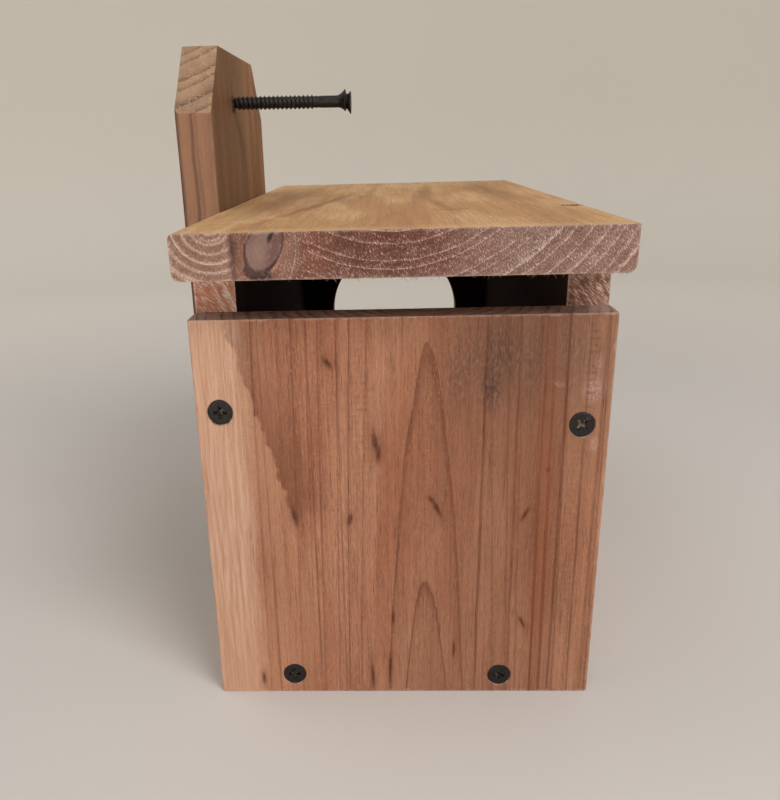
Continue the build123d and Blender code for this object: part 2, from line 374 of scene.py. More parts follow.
def solid_end_features(g, colour, u, v, w):
    """Sapwood down one edge, a flame-shaped stain, pin knots, resin streaks and grey smudges."""
    z = g.plus(w, END_BOARD_HALF_HEIGHT)
    face = g.step(v, -3.0, -6.5)
    place = g.vector(u, z)
    drift = g.centred(g.noise(place, (3.0, 22, 1), 3.0), 3.0)
    jag = g.centred(g.noise(place, (1.1, 2.6, 1), 3.0, 0.65), 2.4)
    steps = g.centred(g.noise(place, (30, 6.5, 1), rough=0.6), 6.0)

    # Sapwood: pale, with wavy reddish threads down it
    threads = g.noise(g.vector(g.plus(u, g.times(drift, 0.6)), z), (1.1, 34, 1), 3.0, 0.65)
    sapwood = g.step(g.plus(u, g.times(drift, 1.6), jag), -49.5, -57.0)
    pale = g.mix(g.step(threads, 0.36, 0.66), srgb(222, 188, 166), srgb(190, 148, 124))
    colour = g.mix(g.times(sapwood, 0.72), colour, pale)

    # The stain's left edge runs straight down and inwards; it fades to the right and darkens downwards
    edge = g.plus(g.times(g.minus(142.4, z), 0.287), -57.6)
    inside = g.plus(u, g.times(jag, 0.5), steps, g.times(edge, -1))
    ends = g.times(g.step(z, 73.0, 80.0), face)
    body = g.times(g.step(inside, -0.9, 1.3), g.step(inside, 17.0, 1.0))
    rim = g.times(g.step(inside, -0.6, 0.2), g.step(inside, 2.2, 0.3))
    zones = (
        # Paler at the right edge; painted light makes the lower left brighter and more orange, and painted
        # shade makes the right half darker and browner
        ((176, 134, 106), g.step(g.plus(u, g.times(drift, 3.0)), 52, 62), 0.16),
        ((200, 146, 112), g.step(u, -10, -60), g.step(z, 90, 10), face, 0.45),
        ((120, 80, 58), g.step(u, -26, 34), g.step(u, 64, 52), 0.36, face),
        # The wood outside the stain, the stain and its rim, and dirt towards the top right
        ((206, 156, 124), g.step(inside, 0.4, -1.0), g.step(z, 50, 90), face, 0.34),
        ((118, 72, 50), body, g.step(z, 142, 78, 0.3, 0.62), ends),
        ((92, 54, 40), rim, g.step(jag, -0.6, 0.5), 0.26, ends),
        ((104, 78, 62), g.step(u, 5, 40), g.step(z, 70, 135), face, 0.34),
    )
    for tone, *shares in zones:
        colour = g.tint(colour, tone, *shares)

    # Pin knots in their halos, smudges and pale rubs
    flat = g.vector(g.plus(u, g.times(jag, 0.3)), g.plus(z, g.times(jag, 0.5)))
    halos = [(spot, (size[0] * 2.7, size[1] * 2.0), tilt, 0.85, 0.34) for spot, size, tilt in SOLID_END_KNOTS]
    colour = g.paint(colour, (128, 78, 56), flat, face, *halos)
    broken = g.times(face, g.step(g.noise(place, (0.6, 1.8, 1)), 0.3, 0.52, 0.6, 1.0))
    cores = [(*knot, 0.85, 0.85) for knot in SOLID_END_KNOTS]
    colour = g.paint(colour, (72, 34, 24), flat, broken, *cores)
    smudges = (
        ((29.6, 119.4), (3.0, 6.5), 5, 0.8, 0.85),
        ((31.5, 132.0), (5.5, 9.0), 0, 0.85, 0.7),
        ((20.0, 126.0), (5.0, 13.0), -8, 0.9, 0.5),
        ((42.0, 128.0), (6.0, 13.0), 0, 0.9, 0.42),
        ((47.0, 70.0), (1.8, 13.0), 0, 0.85, 0.42),
        ((56.0, 132.0), (9.0, 12.0), 0, 0.9, 0.3),
    )
    dirty = g.times(face, g.step(g.noise(place, (0.9, 2.2, 1), 3.0, 0.7), 0.3, 0.62))
    colour = g.paint(colour, (66, 54, 50), flat, dirty, *smudges)
    rubs = (
        ((63.6, 119.2), (3.2, 4.2), 0, 0.6, 0.8),
        ((64.6, 128.0), (1.4, 2.6), 0, 0.7, 0.5),
        ((64.8, 99.7), (1.7, 2.4), 0, 0.6, 0.7),
        ((51.8, 121.2), (2.2, 0.7), -20, 0.7, 0.6),
    )
    rubbed = g.times(face, g.step(g.noise(place, (1.1, 1.1, 1), 3.0, 0.65), 0.3, 0.72))
    colour = g.paint(colour, (184, 150, 142), flat, rubbed, *rubs)

    # Fine upright lines, and the short rungs that a planer leaves across soft grain
    upright = g.vector(g.plus(u, g.times(drift, 0.25)), z)
    rungs = g.math("SINE", g.times(g.plus(z, g.times(jag, 0.4)), 2 * math.pi / 2.3))
    worn = g.step(g.noise(place, (1.6, 3.2, 1)), 0.4, 0.6)
    ladders = (
        ((62.6, 128), (1.5, 18), 0, 0.7, 0.5),
        ((59.0, 62), (3.2, 44), 1, 0.9, 0.2),
        ((-13.5, 112), (3.4, 24), 2, 0.9, 0.28),
    )
    colour = g.paint(colour, (104, 58, 40), upright, g.times(face, g.step(rungs, 0.1, 0.9), worn), *ladders)
    lines = (
        ((27.5, 72), (0.5, 110), -0.4, 0.6, 0.6),
        ((39.0, 60), (0.45, 95), 0.2, 0.6, 0.5),
        ((47.6, 64), (0.5, 76), 0.3, 0.6, 0.65),
        ((50.8, 50), (0.6, 70), 0.5, 0.6, 0.65),
        ((54.6, 72), (0.5, 110), 0.0, 0.6, 0.6),
        ((61.6, 60), (0.45, 90), 0.2, 0.6, 0.55),
        ((66.6, 80), (0.6, 90), 0.0, 0.6, 0.5),
        ((-47.0, 40), (0.4, 70), 0.3, 0.6, 0.45),
        ((-31.0, 80), (0.4, 90), 0.2, 0.6, 0.4),
        ((-21.5, 84), (0.4, 90), 0.0, 0.6, 0.4),
    )
    fading = g.times(face, g.step(g.noise(place, (9, 26, 1)), 0.2, 0.6, 0.45, 1.0))
    colour = g.paint(colour, (92, 44, 28), upright, fading, *lines)
    warm = (((49.5, 62), (3.2, 70), 0.3, 0.9, 0.4), ((-2.5, 100), (3.0, 34), -6, 0.9, 0.35))
    return g.paint(colour, (146, 84, 56), upright, face, *warm)


def other_stem(g, u, v):
    """Distance from the second pith, above the rear corner of the roof's near end."""
    return g.hypotenuse(g.plus(u, 57.0), g.minus(v, 10.0))


def roof_ring_bends(g, radius, u, v, w):
    """Rings of another stem at the rear corner of the near end, and rings that hug the knot."""
    corner = g.times(g.step(u, -49.5, -52.5), g.step(w, -100, -140))
    radius = g.plus(g.times(radius, g.minus(1.0, corner)), g.times(other_stem(g, u, v), corner, 3.7 / 3.0))
    away = g.hypotenuse(g.times(g.plus(u, 41.2), 1 / 5.4), g.times(g.minus(v, 2.4), 1 / 8.0))
    near = g.times(g.step(away, 2.5, 1.2), g.step(w, -125, -148))
    return g.plus(g.times(radius, g.minus(1.0, near)), g.times(away, near, 7.0))


def roof_end_features(g, colour, u, v, w):
    """A tongue-shaped knot in the near sawn end, a dark band beside it and a greyer far side."""
    near_end = g.step(w, -100, -140)
    place = g.vector(u, v)
    waver = g.centred(g.noise(place, (2.2, 2.2, 1)), 1.2)
    flat = g.vector(g.plus(u, waver), g.plus(v, g.times(waver, 0.6)))
    grains = g.step(g.noise(place, (0.42, 0.42, 1), rough=0.7), 0.54, 0.66)
    colour = g.tint(colour, (160, 130, 116), g.step(u, 8, 34), 0.42)
    colour = g.tint(colour, (214, 194, 186), grains, g.step(u, 0, 30, 0.12, 0.6))
    colour = g.tint(colour, (98, 54, 44), g.step(u, 22, -8), g.step(u, -28, -16), 0.4, near_end)
    colour = g.tint(colour, (168, 132, 112), g.step(u, -48.5, -52.5), 0.55)

    # Pale broken arcs round the second pith
    turns = g.times(g.plus(other_stem(g, u, v), g.times(waver, 0.8)), 2 * math.pi / 2.8)
    broken = g.step(g.noise(place, (0.6, 0.6, 1), 3.0, 0.7), 0.36, 0.6, 0.25, 1.2)
    arcs = g.times(g.step(g.math("SINE", turns), 0.2, 0.9), broken)
    corner = g.times(g.step(u, -50.0, -51.5), near_end)
    colour = g.tint(colour, (222, 194, 178), arcs, corner, 0.5)

    knot_tilt = -27
    marks = (
        # A fan of paler wood and a red flush on the knot's right
        ((166, 124, 104), ((-33.6, -1.0), (3.8, 8.0), -12, 0.6, 0.6)),
        ((138, 82, 64), ((-27.0, 1.0), (5.0, 8.0), -30, 0.8, 0.5)),
        # The dark band on its left, and brown wood between them
        ((66, 40, 34), ((-50.3, 2.5), (1.3, 5.0), 8, 0.8, 0.8), ((-50.9, -4.0), (0.9, 6.0), 0, 0.9, 0.6)),
        ((148, 108, 88), ((-47.6, 0.0), (1.8, 6.0), 0, 0.8, 0.6)),
        # The knot's bark, its wood, the sheen and the shade across it, and its dark eye
        (
            (50, 31, 30),
            ((-41.3, 2.3), (5.5, 8.2), knot_tilt, 0.05, 0.9),
            ((-43.4, -4.6), (4.3, 2.8), -18, 0.14, 0.9),
        ),
        ((124, 94, 87), ((-41.0, 2.9), (4.9, 7.3), knot_tilt, 0.07, 0.95)),
        ((152, 122, 112), ((-42.6, 1.2), (3.0, 5.2), knot_tilt, 0.9, 0.5)),
        ((88, 58, 54), ((-37.6, 3.4), (1.6, 6.0), -20, 0.9, 0.5)),
        ((50, 34, 33), ((-39.0, 5.4), (0.7, 1.7), knot_tilt, 0.4, 0.9)),
    )
    for tone, *spots in marks:
        colour = g.paint(colour, tone, flat, near_end, *spots)
    knot = g.spot(flat, (-41.3, 1.6), (6.0, 9.5), knot_tilt, 0.15)
    calm = g.math("MAXIMUM", knot, g.spot(flat, (-50.3, 0), (2.2, 12), 4, 0.6))
    return colour, g.times(calm, near_end)


def roof_features(g, colour, u, v, w):
    """Drifting dark streaks along the top, a dark nick, paler and rosier stretches, and a painted highlight
    along the near edge.
    """
    waver = g.centred(g.noise(g.vector(u, w), (6, 30, 1), 3.0), 7.0)
    flat = g.vector(g.plus(u, waver), w)
    top = g.step(v, 3.0, 6.5)
    streaks = (
        ((-33, -40), (2.0, 75), -9, 0.85, 0.6),
        ((-50, 0), (6.0, 95), -5, 0.9, 0.42),
        ((-12, 60), (2.0, 60), -3, 0.85, 0.4),
        ((14, 30), (4.0, 75), -4, 0.85, 0.55),
        ((18, -60), (2.2, 40), 4, 0.85, 0.55),
        ((46, 40), (7.0, 80), 4, 0.9, 0.4),
    )
    colour = g.paint(colour, (128, 80, 46), flat, top, *streaks)
    colour = g.paint(colour, (104, 78, 58), flat, top, ((20, -78), (6.0, 1.6), 0, 0.7, 0.6))
    pale = (
        ((-52, -112), (4.0, 7.0), 0, 0.6, 0.35),
        ((-44, -100), (3.5, 9.0), 20, 0.7, 0.35),
        # The last is a painted highlight: a pale strip along the top's near edge
        ((0, -146), (70, 5), 0, 0.8, 0.35),
    )
    colour = g.paint(colour, (214, 178, 134), flat, top, *pale)
    rosy = (((6, -100), (9, 60), -3, 0.95, 0.45), ((-8, -60), (5, 60), 2, 0.95, 0.3))
    return g.paint(colour, (176, 118, 82), flat, top, *rosy)


def mounting_features(g, colour, u, v, w):
    """Darker wood towards the near edge, that edge's dark lines, and a split above the started screw."""
    front = g.step(v, 3.0, 6.5)
    colour = g.tint(colour, (88, 58, 38), g.step(u, 45, -10), front, 0.55)
    side = g.step(u, -66.0, -69.0)
    colour = g.tint(colour, (150, 112, 92), side, 0.7)
    waver = g.centred(g.noise(g.vector(z=w), (1, 1, 22)), 2.2)
    across = g.vector(g.plus(v, waver), w)
    lines = (
        ((-0.6, 0), (0.7, 150), 0, 0.8, 0.6),
        ((-6.8, 0), (1.1, 150), 0, 0.8, 0.75),
        ((2.2, -20), (0.5, 110), 0.6, 0.8, 0.35),
    )
    colour = g.paint(colour, (76, 46, 40), across, side, *lines)
    return g.paint(colour, (34, 20, 14), g.vector(u, w), front, ((-17.6, 101.9), (0.45, 5.4), 2, 0.4, 0.9))


# Each board: which row axis is its width, its thickness and its grain; the radii of its arrises;
# its tree's pith, as a place across the board and a lean along it; its rings, saw strokes and colours
CEDAR = dict(
    radii=((1.3, 1.2), (1.2, 1.1)), phase=0.0, uneven=0.8, wander=4.0, ripple=0.7, lead=0.6,
    faintest=0.12, contrast=0.75, end_faintest=0.5, end_contrast=0.8, drag=62, drag_size=(0.22, 1.2),
    tufts=0.1, fuzz=0.0, wear=0.3,
)
LONG_WALL = dict(
    CEDAR, slot="cedar_pale", axes="ZXY", radii=((1.3, 1.1), (1.2, 1.4)), spacing=3.6, drag=-50,
    drag_size=(0.33, 2.6), end_faintest=0.3,
)
BOARDS = (
    dict(
        CEDAR, node="solid_end_board", slot="cedar_heartwood", axes="XYZ",
        radii=((1.2, 1.3), (1.1, 1.2)), pith=(9.0, 9.65, 0.0, 0.0437), spacing=4.2, phase=-3.71,
        uneven=0.9, wander=1.6, ripple=0.6, seed=3, inner=1.0, contrast=0.76, lead=0.35,
        end_contrast=0.9,
        colours=((172, 122, 95), (154, 101, 76), (110, 58, 38), (190, 142, 116)),
        end_colours=((176, 142, 130), (74, 50, 44), (214, 190, 180)),
        features=solid_end_features,
    ),
    dict(
        CEDAR, node="entrance_end_board", slot="cedar_heartwood", axes="XYZ",
        pith=(-14.0, -16.0, 0.02, -0.06), spacing=3.8, seed=17, inner=-1.0, contrast=0.65,
        colours=((176, 127, 98), (158, 106, 80), (112, 62, 42), (192, 146, 120)),
        end_colours=((150, 118, 104), (84, 58, 48), (190, 164, 150)),
    ),
    dict(
        CEDAR, node="floor_board", slot="cedar_pale", axes="XZY", pith=(8.0, -40.0, 0.03, 0.05),
        spacing=4.6, seed=29,
        colours=((208, 162, 128), (188, 136, 102), (140, 88, 62), (222, 180, 148)),
        end_colours=((160, 122, 98), (108, 74, 56), (206, 176, 152)),
    ),
    dict(
        LONG_WALL, node="rear_wall", pith=(30.0, -60.0, 0.03, 0.04), seed=41, tufts=0.16, inner=1.0,
        fuzz=0.05,
        colours=((190, 144, 114), (170, 120, 92), (122, 74, 54), (206, 162, 134)),
        end_colours=((208, 138, 106), (238, 184, 154), (255, 246, 238)),
    ),
    dict(
        LONG_WALL, node="front_wall", pith=(30.0, -38.0, -0.02, 0.06), seed=53, tufts=0.14, inner=-1.0,
        fuzz=0.06,
        colours=((186, 140, 112), (168, 118, 92), (120, 72, 54), (204, 160, 134)),
        end_colours=((130, 88, 72), (172, 130, 110), (230, 202, 186)),
    ),
    dict(
        CEDAR, node="roof_board", slot="cedar_golden", axes="XZY", radii=((2.8, 1.8), (2.8, 0.5)),
        pith=(-2.0, 52.0, 0.01, 0.012), spacing=3.7, uneven=1.3, wander=2.5, seed=67, drag=118,
        tufts=0.14, lead=0.3, contrast=0.45, end_contrast=0.64, wear=0.2,
        colours=((200, 160, 116), (180, 136, 92), (134, 88, 52), (214, 178, 134)),
        end_colours=((116, 72, 58), (176, 132, 118), (232, 208, 196)),
        features=roof_features, end_features=roof_end_features, ring_bends=roof_ring_bends,
    ),
    dict(
        CEDAR, node="mounting_board", slot="cedar_brown", clipped=DOG_EAR, axes="YXZ",
        radii=((2.4, 1.0), (2.0, 1.0)), pith=(10.0, -33.0, 0.02, 0.02), spacing=4.6, faintest=0.4,
        seed=83, lead=0.45, end_faintest=0.75, end_contrast=0.85, wear=0.15,
        colours=((162, 121, 82), (136, 95, 60), (82, 51, 33), (180, 140, 102)),
        end_colours=((170, 137, 110), (76, 50, 37), (200, 170, 142)),
        features=mounting_features,
    ),
)


def ticks(half, near, step):
    """Places from -half to half: the near distances in from both ends, and even steps between."""
    inner = half - near[-1]
    count = max(2, round(2 * inner / step))
    middle = np.linspace(-inner, inner, count + 1)[1:-1]
    start = [-half + distance for distance in near]
    end = [half - distance for distance in reversed(near)]
    return np.array([*start, *middle, *end])


def lattice_box(places):
    """Points and quads over the surface of a lattice, as indexes into the three lists of places."""
    counts = [len(p) for p in places]
    index = {}
    quads = []
    for axis in range(3):
        first, second = (axis + 1) % 3, (axis + 2) % 3
        for side in (0, counts[axis] - 1):
            for i in range(counts[first] - 1):
                for j in range(counts[second] - 1):
                    quad = []
                    for di, dj in ((0, 0), (1, 0), (1, 1), (0, 1)):
                        key = [0, 0, 0]
                        key[axis], key[first], key[second] = side, i + di, j + dj
                        quad.append(index.setdefault(tuple(key), len(index)))
                    quads.append(quad if side else quad[::-1])
    points = [[places[a][key[a]] for a in range(3)] for key in index]
    return np.array(points), quads


def worn_point(point, half, radii, seed):
    """A lattice point moved onto the board's real surface: rounded arrises, uneven cut ends."""
    u, v, w = point
    wear = noise.noise(Vector((w / 26, seed + 5 * (u > 0), 3.3 * (v > 0))))
    radius = radii[int(u > 0)][int(v > 0)] * (1 + 0.22 * wear)
    in_u = abs(u) - (half[0] - radius)
    in_v = abs(v) - (half[1] - radius)
    if in_u > 0 and in_v > 0:
        scale = radius / math.hypot(in_u, in_v)
        u = math.copysign(half[0] - radius + in_u * scale, u)
        v = math.copysign(half[1] - radius + in_v * scale, v)
    chips = noise.noise(Vector((u / 3.1 + seed, v / 3.1, w / 60)))
    ease = CUT_EASE * (1 + 0.35 * chips + 1.6 * max(0.0, chips - 0.35))
    from_end = half[2] - abs(w)
    if from_end < ease:
        shrink = ease - math.sqrt(max(0.0, ease**2 - (ease - from_end) ** 2))
        u -= math.copysign(min(shrink, abs(u)), u) if abs(u) > half[0] - 2 * radius else 0
        v -= math.copysign(min(shrink, abs(v)), v) if abs(v) > half[1] - 2 * radius else 0
    swell = 0.07 * noise.noise(Vector((u / 9, w / 34, seed)))
    if abs(v) > half[1] - 0.1:
        v -= math.copysign(0.08 + swell, v)
    if from_end < 0.02:
        w -= math.copysign(0.1 + 0.1 * noise.noise(Vector((u / 2.3, v / 2.3, seed))), w)
    return u, v, w


def mesh_object(name, points, faces):
    mesh = bpy.data.meshes.new(name)
    mesh.from_pydata([tuple(p) for p in points], [], faces)
    mesh.update()
    return linked(name, mesh)


def linked(name, data):
    made = bpy.data.objects.new(name, data)
    bpy.context.scene.collection.objects.link(made)
    return made


def dressed(piece, material):
    piece.data.materials.clear()
    piece.data.materials.append(material)


def stand_for(piece, node, slot, body="box"):
    """The piece stands for a CAD node, which it hides, and rides on that body; the slot is not used."""
    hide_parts(node)
    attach(piece, body)


def smooth(piece, angle):
    """Smooth shading that stays sharp at edges over the angle, in degrees."""
    piece.data.shade_smooth()
    piece.data.set_sharp_from_angle(angle=math.radians(angle))


def board_piece(board):
    """A board with worn arrises and uneven saw cuts, in its own place in the row frame."""
    low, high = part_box(board["node"])
    middle = (low + high) / 2 / MM
    half = half_sizes(board)
    edge = max(max(pair) for pair in board["radii"])
    round_places = [edge * share for share in (0, 0.15, 0.35, 0.6, 0.85, 1.15)]
    end_places = [CUT_EASE * share for share in (0, 0.3, 0.8, 1.6, 3.5)]
    nears = (round_places, round_places, end_places)
    places = [ticks(size, near, LATTICE_STEP) for size, near in zip(half, nears)]
    clipped = board.get("clipped", 0.0)
    if clipped:
        places[0] = np.sort([*places[0], clipped - half[0], half[0] - clipped])
    points, quads = lattice_box(places)
    moved = np.empty_like(points)
    for row, point in enumerate(points):
        u, v, w = worn_point(point, half, board["radii"], board["seed"])
        room = max(0.0, clipped - (half[0] - abs(u)))
        local = (u, v, w - room * (w + half[2]) / (2 * half[2]))
        for axis, value in zip(board["axes"], local):
            moved[row, AXES[axis]] = (value + middle[AXES[axis]]) * MM
    swaps = sum(1 for i in range(3) for j in range(i) if board["axes"][j] > board["axes"][i])
    if swaps % 2:
        quads = [quad[::-1] for quad in quads]
    return mesh_object(board["node"] + "_wood", moved, quads)


def round_corners(radius, columns):
    angles = [2 * math.pi * column / columns for column in range(columns)]
    return [(radius * math.cos(angle), radius * math.sin(angle)) for angle in angles]


def ring_quads(rings, columns, first=0):
    """Quads between rings of points that follow each other in one list, from the top down."""
    quads = []
    for here in range(first, first + (rings - 1) * columns, columns):
        for column in range(columns):
            after = (column + 1) % columns
            quads.append((here + column, here + columns + column, here + columns + after, here + after))
    return quads


def lathe(profile, columns, wobble, seed):
    """A closed solid turned about Z from (radius, height) points, whose first and last radius is 0."""
    points = [(0, 0, profile[0][1])]
    for radius, height in profile[1:-1]:
        for x, y in round_corners(1, columns):
            grown = radius * (1 + wobble * noise.noise(Vector((x, y, seed)) * 1.7))
            points.append((grown * x, grown * y, height))
    points.append((0, 0, profile[-1][1]))
    end = len(points) - 1
    faces = ring_quads(len(profile) - 2, columns, 1)
    for column in range(columns):
        after = (column + 1) % columns
        faces.append((0, 1 + column, 1 + after))
        faces.append((end - columns + after, end - columns + column, end))
    return points, faces


def joined(solids):
    """Many (points, faces) as one."""
    points, faces = [], []
    for solid_points, solid_faces in solids:
        faces.extend([len(points) + i for i in face] for face in solid_faces)
        points.extend(solid_points)
    return points, faces


def cut(piece, cutters):
    """Takes the cutters, given as (points, faces) in metres in the row frame, out of the piece."""
    tool = mesh_object("cutter", *joined(cutters))
    modifier = piece.modifiers.new("cut", "BOOLEAN")
    modifier.operation = "DIFFERENCE"
    modifier.solver = "EXACT"
    modifier.object = tool
    evaluated = piece.evaluated_get(bpy.context.evaluated_depsgraph_get())
    result = bpy.data.meshes.new_from_object(evaluated)
    piece.modifiers.remove(modifier)
    piece.data = result
    bpy.data.objects.remove(tool)


def screw_groups():
    """Each fixed screw's node, the way it points, its size, the board its head is in, and its roll."""
    groups = (
        ("solid_end_screw", (0, 1, 0), JOINT_SCREW, "solid_end_board", (0, 45, 5, 80)),
        ("entrance_end_screw", (0, -1, 0), JOINT_SCREW, "entrance_end_board", (20, 65, 35, 10)),
        ("roof_screw", (0, 0, -1), JOINT_SCREW, "roof_board", (30,)),
        ("roof_edge_screw", (1, 0, 0), JOINT_SCREW, "mounting_board", (15, 50)),
        ("mounting_board_screw", (1, 0, 0), FACE_SCREW, "mounting_board", (0, 40, 70, 25)),
        ("floor_screw", (0, 0, 1), JOINT_SCREW, "floor_board", (10, 55, 30, 85)),
    )
    for group, direction, size, board, rolls in groups:
        for number, roll in enumerate(rolls, start=1):
            yield f"{group}_{number}", Vector(direction), size, board, roll


def screw_place(node, direction, roll=0):
    """The frame at the middle of a CAD screw's head, whose Z points out of the head."""
    corners = [vertex.co for vertex in frame["nodes"][node].data.vertices]
    reach = min(corner.dot(direction) for corner in corners)
    face = [corner for corner in corners if corner.dot(direction) < reach + 0.0001]
    middle = Vector([(min(c[a] for c in face) + max(c[a] for c in face)) / 2 for a in range(3)])
    turn = (-direction).to_track_quat("Z", "Y").to_matrix().to_4x4()
    return Matrix.Translation(middle) @ turn @ Matrix.Rotation(math.radians(roll), 4, "Z")


def screw_travel():
    """The way the mounting screw is driven."""
    return Vector(frame["joints"][0]["axis"]).normalized()


def screw_rows(size):
    """Rows of a helical thread below the neck, and the point of each row at a column.

    The thread rises to the right, has one or two starts, and fades in below the neck and out at the tip.
    """
    pitch, core, thread = size["pitch"], size["core"], size["thread"]
    start = -size["bugle"] - size["shank"]
    tip = -size["length"]
    lead = pitch * size["starts"]
    blunt = 0.4
    rows = []
    for turn in range(-size["starts"], math.ceil((start - tip) / pitch) + 2):
        rows += [(start - (turn + phase) * pitch, height) for phase, height in THREAD_PROFILE]

    def at(row, column):
        drop, height = rows[row]
        z = min(start, max(tip + blunt, drop - lead * column / SCREW_COLUMNS))
        taper = min(1.0, (z - tip) / size["point"])
        root = core * taper**0.8
        fade = min(1.0, (start - z) / (0.8 * lead)) * min(1.0, (z - tip - blunt) / 1.5)
        crest = root + (thread - core) * min(1.0, 0.4 + 0.6 * taper) * fade
        radius = root + (crest - root) * height
        angle = -2 * math.pi * column / SCREW_COLUMNS
        return radius * math.cos(angle), radius * math.sin(angle), z

    return rows, at


def head_outline(size):
    """Radius, height and sideways shift of each ring from the head's face down to the thread."""
    head, bugle, core, shank = size["head"], size["bugle"], size["core"], size["shank"]
    shank_radius = core * SHANK_OVER_CORE if shank > bugle else core
    lean = 0.5 if "lip" in size else 0.0
    rings = [(head * share, -0.03 * share**2, -lean) for share in (0.25, 0.5, 0.75, 0.9)]
    rings += [(head - 0.16, -0.05, -lean), (head, -0.2, -lean), (head, -0.45, -lean)]
    under = 0.5
    if "lip" in size:
        # The mounting screw's head has a second lip behind the first, a little out of line
        rings += [(head - 0.8, -1.0, -lean), (3.0, -1.75, -0.2 * lean), (2.95, -2.0, 0.2 * lean)]
        rings += [(size["lip"], -2.45, lean), (size["lip"], -2.6, lean)]
        head, under = size["lip"], 2.65
    under += 0.16
    rings.append((head - 0.12, -under, lean))
    for share in (0.12, 0.25, 0.4, 0.55, 0.7, 0.85, 1.0):
        flare = (head - 0.25 - shank_radius) * (1 - share) ** 1.8
        rings.append((shank_radius + flare, -under - (bugle - under) * share, lean * (1 - share)))
    start = -bugle - shank
    neck = [(shank_radius, start + share * shank, 0) for share in (0.5, 0.08)]
    return [*rings, *neck, (core, start, 0)]


def screw_mesh(name, size):
    """The whole screw about Z, head face at zero, point down, with its cross recess cut."""
    table = bmesh.new()
    rings = []
    for radius, height, lean in head_outline(size):
        corners = round_corners(radius, SCREW_COLUMNS)
        rings.append([table.verts.new((x + lean, y, height)) for x, y in corners])
    top = table.verts.new((0, 0, 0))
    for column in range(SCREW_COLUMNS):
        after = (column + 1) % SCREW_COLUMNS
        table.faces.new((top, rings[0][column], rings[0][after]))
        for upper, lower in zip(rings, rings[1:]):
            table.faces.new((upper[column], lower[column], lower[after], upper[after]))

    rows, at = screw_rows(size)
    grid = [[table.verts.new(at(row, column)) for column in range(SCREW_COLUMNS)] for row in range(len(rows))]
    whole_turn = len(THREAD_PROFILE) * size["starts"]
    for row in range(len(rows) - whole_turn - 1):
        for column in range(SCREW_COLUMNS):
            wraps = column == SCREW_COLUMNS - 1
            shift, after = (whole_turn, 0) if wraps else (0, column + 1)
            corners = ((row, column), (row + 1, column), (row + 1 + shift, after), (row + shift, after))
            table.faces.new([grid[r][c] for r, c in corners])
    bmesh.ops.remove_doubles(table, verts=table.verts, dist=0.002)
    bmesh.ops.dissolve_degenerate(table, edges=table.edges, dist=0.002)
    bmesh.ops.delete(table, geom=[v for v in table.verts if not v.link_faces], context="VERTS")
    bmesh.ops.holes_fill(table, edges=[e for e in table.edges if e.is_boundary], sides=0)
    bmesh.ops.recalc_face_normals(table, faces=table.faces)
    bmesh.ops.scale(table, vec=(MM, MM, MM), verts=table.verts)
    mesh = bpy.data.meshes.new(name)
    table.to_mesh(mesh)
    table.free()
    piece = linked(name, mesh)
    cut(piece, [cross_recess()])
    smooth(piece, 38)

    # The points inside the recess are marked, because sawdust stays there
    recess = piece.data.attributes.new("recess", "FLOAT", "POINT")
    for vertex, mark in zip(piece.data.vertices, recess.data):
        across = math.hypot(vertex.co.x, vertex.co.y) / MM
        inside = across < RECESS_SPAN / 2 + 0.1 and -RECESS_DEPTH - 0.1 < vertex.co.z / MM < -0.12
        mark.value = 1.0 if inside else 0.0
    return piece


def cross_recess():
    """The cutter for a cross recess: a plus outline that narrows to a blunt point."""
    points = []
    wide = ((1.04, 1.0, 0.4), (1.0, 1.0, -0.05))
    narrow = ((0.62, 0.72, -RECESS_DEPTH * 0.8), (0.2, 0.35, -RECESS_DEPTH))
    for reach, width, height in wide + narrow:
        long = RECESS_SPAN / 2 * reach
        short = min(RECESS_WIDTH / 2 * width, long * 0.8)
        for quarter in range(4):
            turn = Matrix.Rotation(math.pi / 2 * quarter, 2)
            for x, y in ((long, -short), (long, short), (short * 1.25, short * 1.25)):
                points.append((*(turn @ Vector((x, y)) * MM), height * MM))
    corners = range(12)
    caps = [list(corners), [len(points) - 1 - corner for corner in corners]]
    return points, ring_quads(4, 12) + caps


def placed(solid, place):
    """A solid in mm, moved to its place in the row frame and made metres."""
    points, faces = solid
    return [tuple(place @ (Vector(p) * MM)) for p in points], faces


def countersink(node, direction, size, board, seed):
    """The cutter for a fixed screw's hole, with a crushed, uneven mouth that follows the bugle head."""
    head, bugle, core = size["head"], size["bugle"], size["core"]
    place = screw_place(node, direction)
    face = min(corner.dot(direction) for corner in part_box(board))
    sink = (place.translation.dot(direction) - face) / MM
    mouth = head + 0.4
    profile = [(0, 3.0), (mouth, 3.0), (mouth, sink - 0.05), (head + 0.1, sink - 0.5), (head + 0.03, -0.7)]
    for share in (0.25, 0.5, 0.75, 1.0):
        profile.append((core + (head - core) * (1 - share) ** 1.6 + 0.03, -0.7 - (bugle - 0.7) * share))
    reach = size["thread"] + 0.05
    profile += [(reach, -bugle - 1.5), (reach, -size["length"] - 0.2), (0, -size["length"] - 0.3)]
    return placed(lathe(profile, 36, 0.05, seed), place)


def entrance_hole():
    """The cutter for the round entrance, with eased, slightly torn rims and hole-saw rings."""
    low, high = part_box("entrance_end_board")
    depth = (high.y - low.y) / MM
    profile = [(0, 3), (ENTRANCE_RADIUS + 0.7, 3), (ENTRANCE_RADIUS + 0.7, 0.05)]
    for number in range(14):
        share = (number + 0.5) / 14
        profile.append((ENTRANCE_RADIUS + 0.08 * math.sin(number * 2.4), -0.5 - (depth - 1) * share))
    profile += [(ENTRANCE_RADIUS + 0.9, -depth - 0.05), (ENTRANCE_RADIUS + 0.9, -depth - 3), (0, -depth - 3)]
    middle = Vector(((low.x + high.x) / 2, high.y, ENTRANCE_HEIGHT * MM))
    place = Matrix.Translation(middle) @ Matrix.Rotation(-math.pi / 2, 4, "X")
    return placed(lathe(profile, 144, 0.006, 5), place)


